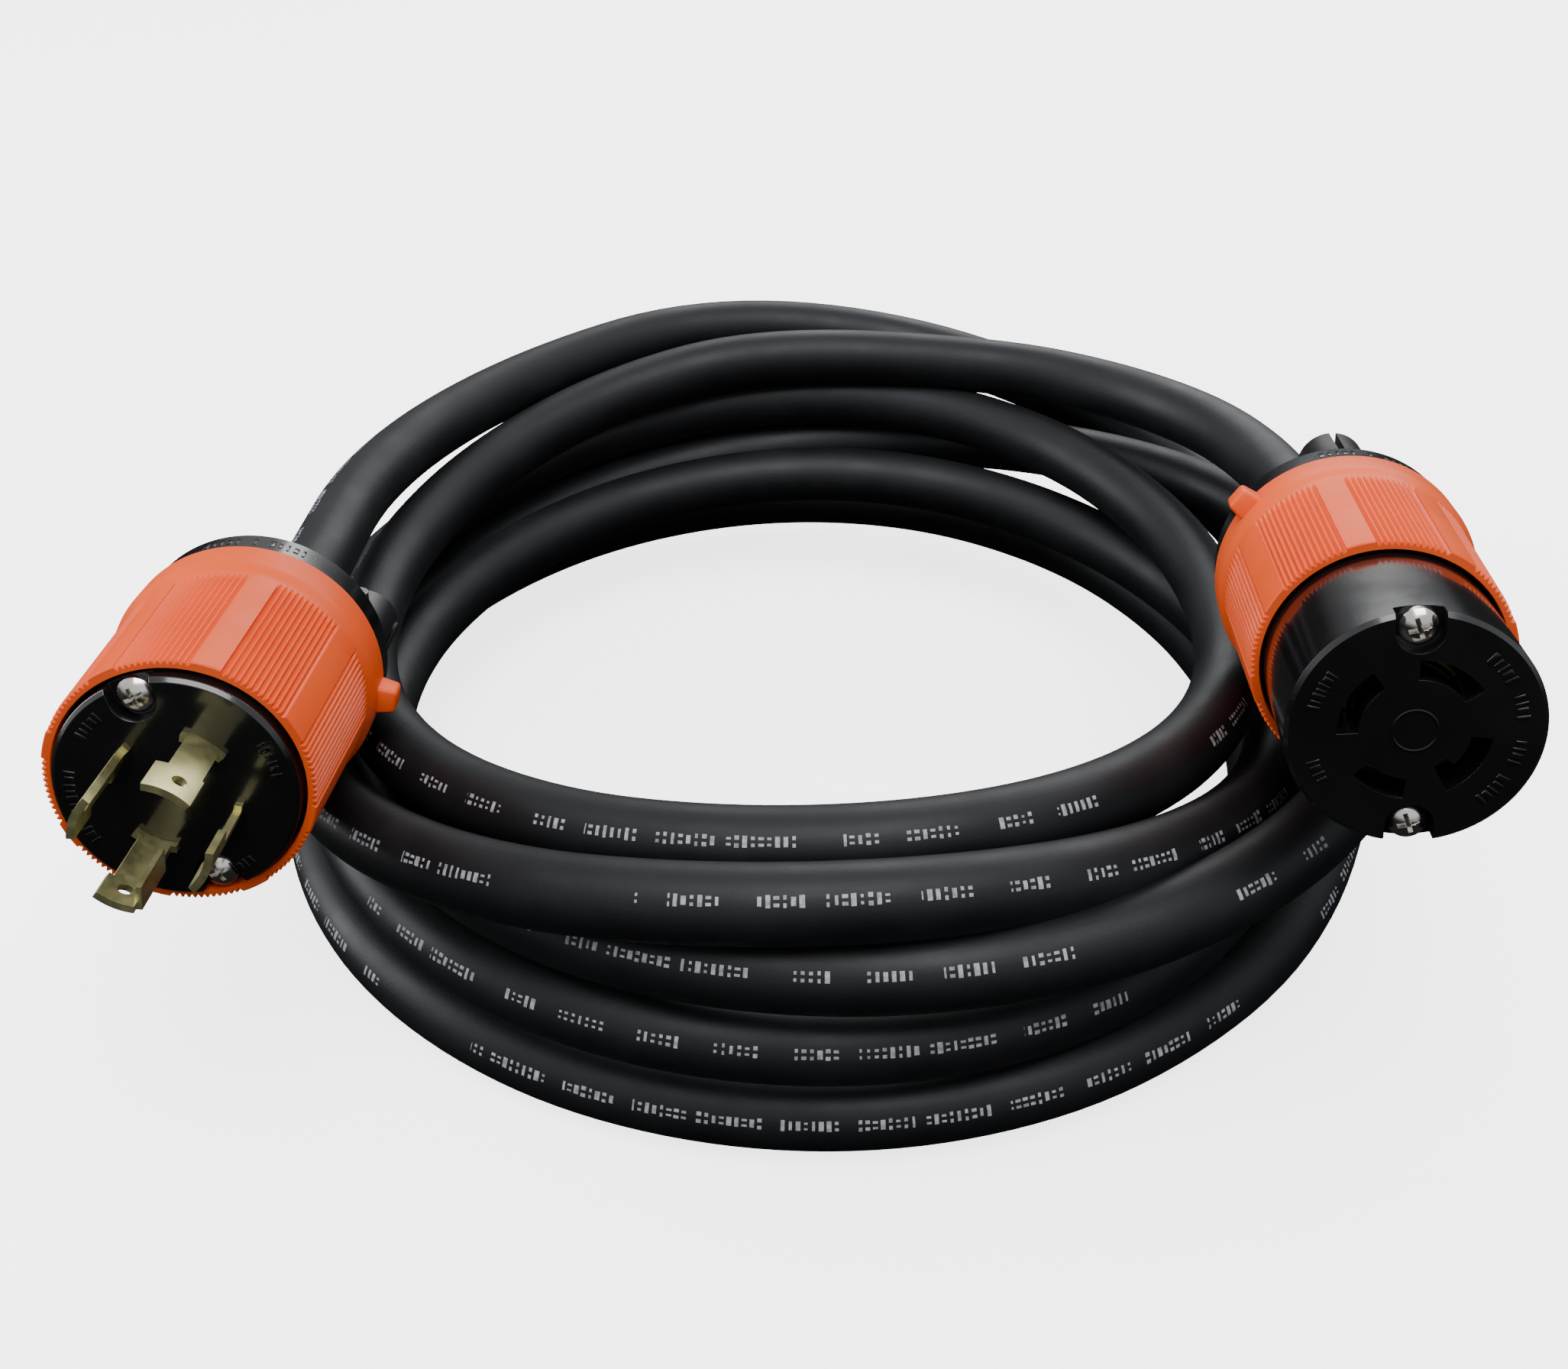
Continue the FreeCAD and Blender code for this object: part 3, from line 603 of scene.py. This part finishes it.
def ribbed_shell(name, matrix, proud, phase, lug_deg, node):
    """The housing: a scalloped rim, a ribbed grip with pads, a slope and a plain collar with a lug."""
    angles = shell_angles(phase)
    share_at = dict(angles)

    def grip(behind):
        """The grip's skin at a distance behind the rim, as a function of the angle."""
        cone = SHELL_FRONT_R + (GRIP_REAR_R - SHELL_FRONT_R) * behind / GRIP_LENGTH
        fade = min(max((GRIP_LENGTH - behind) / RIB_FADE, 0.0), 1.0)

        def row(degrees):
            share = share_at[degrees]
            if share is None:
                return cone, -proud - behind
            cut = max(0.0, share - (1.0 - fade)) * RIB_DEPTH
            return cone - CREST_DROP * fade - cut, -proud - behind

        return row

    def rim(degrees):
        return grip(0.0)(degrees)[0] - RIM_ROUND, -proud

    def plain(radius, behind):
        return lambda degrees: (radius, -proud - behind)

    steps = [RIM_ROUND] + [share * GRIP_LENGTH for share in GRIP_SHARES]
    steps += [GRIP_LENGTH - RIB_FADE * (FADE_STEPS - k) / FADE_STEPS for k in range(FADE_STEPS + 1)]
    slope = COLLAR_START - GRIP_LENGTH
    rise = SHELL_REAR_R - GRIP_REAR_R
    rows = [rim] + [grip(behind) for behind in steps]
    rows += [plain(GRIP_REAR_R + rise * share, GRIP_LENGTH + slope * share) for share in SLOPE_SHARES]
    rows += [plain(SHELL_REAR_R, COLLAR_START + EDGE), plain(SHELL_REAR_R, SHELL_LENGTH - EDGE)]
    rows += [plain(SHELL_REAR_R - EDGE, SHELL_LENGTH), plain(SHELL_REAR_R - WALL, SHELL_LENGTH)]
    rows += [plain(SHELL_REAR_R - WALL - EDGE, COLLAR_START), plain(BORE_R + BORE_DRAFT, DRAFT_DEPTH)]
    rows += [plain(BORE_R, EDGE), plain(BORE_R + BORE_RIM, 0.0)]
    shell = turned(name, [a for a, _ in angles], rows, matrix)
    add_lug(shell, matrix, proud, lug_deg)
    stand_in(shell, node)


# ---- raised marks on the faces and caps, which spell nothing ------------------------------------
MARK_RISE = 0.22 * MM
MARK_DEPTH = 0.3 * MM
MARK_ROUND = 0.09 * MM
MARK_TAPER = 0.92
MARK_SHARP_DEG = 40
# The bars of a word take these widths and shares of the word's height in turn.
BAR_WIDTHS = (0.75 * MM, 1.25 * MM, 0.55 * MM)
BAR_HEIGHTS = (1.0, 0.8)

# Each word is where it starts, how many bars it has and the pitch from bar to bar, in degrees.
PLUG_WORDS = [(8, 6, 4.0), (128, 5, 4.0), (168, 7, 4.0), (204, 3, 4.0), (296, 4, 4.0)]
PLUG_WORDS_R = 21.6 * MM
PLUG_MARK_HEIGHT = 2.6 * MM
CONNECTOR_WORDS = [(14, 4, 4.2), (38, 5, 4.2), (-42, 5, 4.2), (-14, 4, 4.2), (150, 7, 3.6), (206, 4, 4.0)]
CONNECTOR_WORDS_R = 20.6 * MM
CONNECTOR_MARK_HEIGHT = 2.8 * MM
# The rear caps' words run round the cap, this far behind the housing.
CAP_WORDS = [(62, 5, 3.6), (84, 1, 3.6), (92, 5, 3.6)]
CAP_WORDS_BEHIND = 5.0 * MM
CAP_R = 30.2 * MM
CAP_MARK_HEIGHT = 3.4 * MM

RING_R = 4.2 * MM
RING_WIDTH = 0.5 * MM
RING_SIDES = 60
# The ring's outline above the face, from its outside in: how far across it and how high, as shares.
RING_SHAPE = [(1.0, 0.7), (0.75, 1.0), (0.25, 1.0), (0.0, 0.7)]


def raised_marks(name, matrix, node, words, place_mark, height):
    """Words of small raised bars, each set in place by place_mark."""
    build = bmesh.new()
    for start, count, pitch in words:
        for k in range(count):
            wide = BAR_WIDTHS[k % len(BAR_WIDTHS)]
            tall = BAR_HEIGHTS[k % len(BAR_HEIGHTS)] * height
            bar = (wide, tall, MARK_RISE + MARK_DEPTH)
            block(build, place_mark(start + k * pitch), bar, MARK_TAPER, MARK_ROUND)
    for face in build.faces:
        face.smooth = True
    bmesh.ops.recalc_face_normals(build, faces=build.faces)
    go_with(to_piece(build, name, matrix, MARK_SHARP_DEG), node)


def on_face(radius):
    """Places a mark on the face, upright along the radius."""

    def place(degrees):
        root = spoke(degrees) * radius - Vector((0, 0, MARK_DEPTH))
        return standing_frame(root, (0, 0, 1), spoke(degrees))

    return place


def on_barrel(radius, behind):
    """Places a mark on a turned surface round the device's axis."""

    def place(degrees):
        root = spoke(degrees) * (radius - MARK_DEPTH) - Vector((0, 0, behind))
        return standing_frame(root, spoke(degrees), (0, 0, 1))

    return place


def face_ring(name, matrix, radius, width, node):
    """A thin raised ring on a face."""
    angles = [360 * k / RING_SIDES for k in range(RING_SIDES)]
    profile = [(0.0, -MARK_DEPTH), (width, -MARK_DEPTH)]
    profile += [(across * width, high * MARK_RISE) for across, high in RING_SHAPE]
    rows = [(lambda degrees, r=radius + out, z=up: (r, z)) for out, up in profile]
    go_with(turned(name, angles, rows, matrix), node)


# ---- the pieces ---------------------------------------------------------------------------------
# The name and the frame of each device, and how far its face stands out of its housing.
DEVICES = (("plug", PLUG_FRAME, PLUG_PROUD), ("connector", CONNECTOR_FRAME, CONNECTOR_PROUD))

route = smooth_line(cord_route())
cord = cord_tube(route, CABLE_D / 2)
stand_in(cord, "cord_coil", "cord_lead_plug", "cord_lead_connector")

ribbed_shell("plug_housing", PLUG_FRAME, PLUG_PROUD, PLUG_PAD_DEG, PLUG_LUG_DEG, "plug_shell")
ribbed_shell(
    "connector_housing", CONNECTOR_FRAME, CONNECTOR_PROUD,
    CONNECTOR_PAD_DEG, CONNECTOR_LUG_DEG, "connector_shell",
)

raised_marks(
    "plug_face_marks", PLUG_FRAME, "plug_nose", PLUG_WORDS,
    on_face(PLUG_WORDS_R), PLUG_MARK_HEIGHT,
)
raised_marks(
    "connector_face_marks", CONNECTOR_FRAME, "connector_nose", CONNECTOR_WORDS,
    on_face(CONNECTOR_WORDS_R), CONNECTOR_MARK_HEIGHT,
)
face_ring("connector_face_ring", CONNECTOR_FRAME, RING_R, RING_WIDTH, "connector_nose")
for kind, device, proud in DEVICES:
    on_cap = on_barrel(CAP_R, proud + SHELL_LENGTH + CAP_WORDS_BEHIND)
    raised_marks(kind + "_cap_marks", device, kind + "_rear_cap", CAP_WORDS, on_cap, CAP_MARK_HEIGHT)

for kind, _, _ in DEVICES:
    for part, width in DEVICE_ROUNDS.items():
        with_soft_edges(kind + "_" + part, width)
for name in ("ground", "x", "y", "z"):
    with_soft_edges("plug_blade_" + name, BLADE_ROUND)
for node, piece in frame["nodes"].items():
    if not piece.hide_render:
        dress(piece, node)


# ---- camera, floor and light --------------------------------------------------------------------
CAMERA_PLACE = (-0.0144, -0.3896, 0.3173)
CAMERA_DOWN_DEG = 35.76
CAMERA_LENS = 37.86
FLOOR_SIZE = 80
FLOOR_GLOW = 3.0
# The dome goes from dark just below the horizon to its full strength well above it.
DOME_COLOUR = (0.94, 0.97, 1.0, 1)
DOME_LOW = -0.05
DOME_HIGH = 0.35
DOME_DARK = 0.02
DOME_STRENGTH = 0.8
# Name, place, what it points at, width and height, and power in watts.
LIGHTS = [
    ("back_softbox", (0.5, 1.6, 0.9), (0, 0, 0), (1.6, 0.8), 17),
    ("top_softbox", (0.1, -0.5, 1.7), (0, 0, 0), (1.2, 1.0), 26),
    ("left_strip", (-1.5, 0.2, 0.6), (0, 0, 0.05), (0.3, 1.2), 18),
]


def add_camera():
    """The camera, level from side to side and looking down on the coil from in front."""
    data = bpy.data.cameras.new("camera")
    data.sensor_width = 36.0
    data.lens = CAMERA_LENS
    camera = bpy.data.objects.new("camera", data)
    camera.location = CAMERA_PLACE
    camera.rotation_euler = (math.radians(90 - CAMERA_DOWN_DEG), 0, 0)
    bpy.context.scene.collection.objects.link(camera)
    bpy.context.scene.camera = camera


def add_floor():
    """A wide pale floor that reads as white and doesn't show in the gloss of the object."""
    bpy.ops.mesh.primitive_plane_add(size=FLOOR_SIZE, location=(0, 0, 0))
    floor = bpy.context.object
    floor.name = "floor"
    material = bpy.data.materials.new("floor")
    material.use_nodes = True
    shader = material.node_tree.nodes["Principled BSDF"]
    shader.inputs["Base Color"].default_value = (0.95, 0.95, 0.95, 1)
    shader.inputs["Roughness"].default_value = 0.9
    shader.inputs["Specular IOR Level"].default_value = 0.0
    shader.inputs["Emission Color"].default_value = (1.0, 1.0, 1.0, 1)
    shader.inputs["Emission Strength"].default_value = FLOOR_GLOW
    floor.data.materials.append(material)
    floor.visible_glossy = False
    floor.visible_diffuse = False


def add_world():
    """Soft light from a pale dome that is dark below the horizon."""
    world = bpy.data.worlds.new("studio")
    world.use_nodes = True
    tree = world.node_tree
    background = tree.nodes["Background"]
    background.inputs["Color"].default_value = DOME_COLOUR
    direction = tree.nodes.new("ShaderNodeTexCoord")
    parts = tree.nodes.new("ShaderNodeSeparateXYZ")
    rise = tree.nodes.new("ShaderNodeMapRange")
    rise.inputs["From Min"].default_value = DOME_LOW
    rise.inputs["From Max"].default_value = DOME_HIGH
    rise.inputs["To Min"].default_value = DOME_DARK
    rise.inputs["To Max"].default_value = DOME_STRENGTH
    tree.links.new(direction.outputs["Generated"], parts.inputs["Vector"])
    tree.links.new(parts.outputs["Z"], rise.inputs["Value"])
    tree.links.new(rise.outputs["Result"], background.inputs["Strength"])
    bpy.context.scene.world = world


def add_light(name, place, target, size, power):
    """A soft rectangular light that points at its target."""
    data = bpy.data.lights.new(name, "AREA")
    data.shape = "RECTANGLE"
    data.size, data.size_y = size
    data.energy = power
    light = bpy.data.objects.new(name, data)
    light.location = place
    light.rotation_euler = (Vector(target) - Vector(place)).to_track_quat("-Z", "Y").to_euler()
    bpy.context.scene.collection.objects.link(light)


add_camera()
add_floor()
add_world()
for light in LIGHTS:
    add_light(*light)
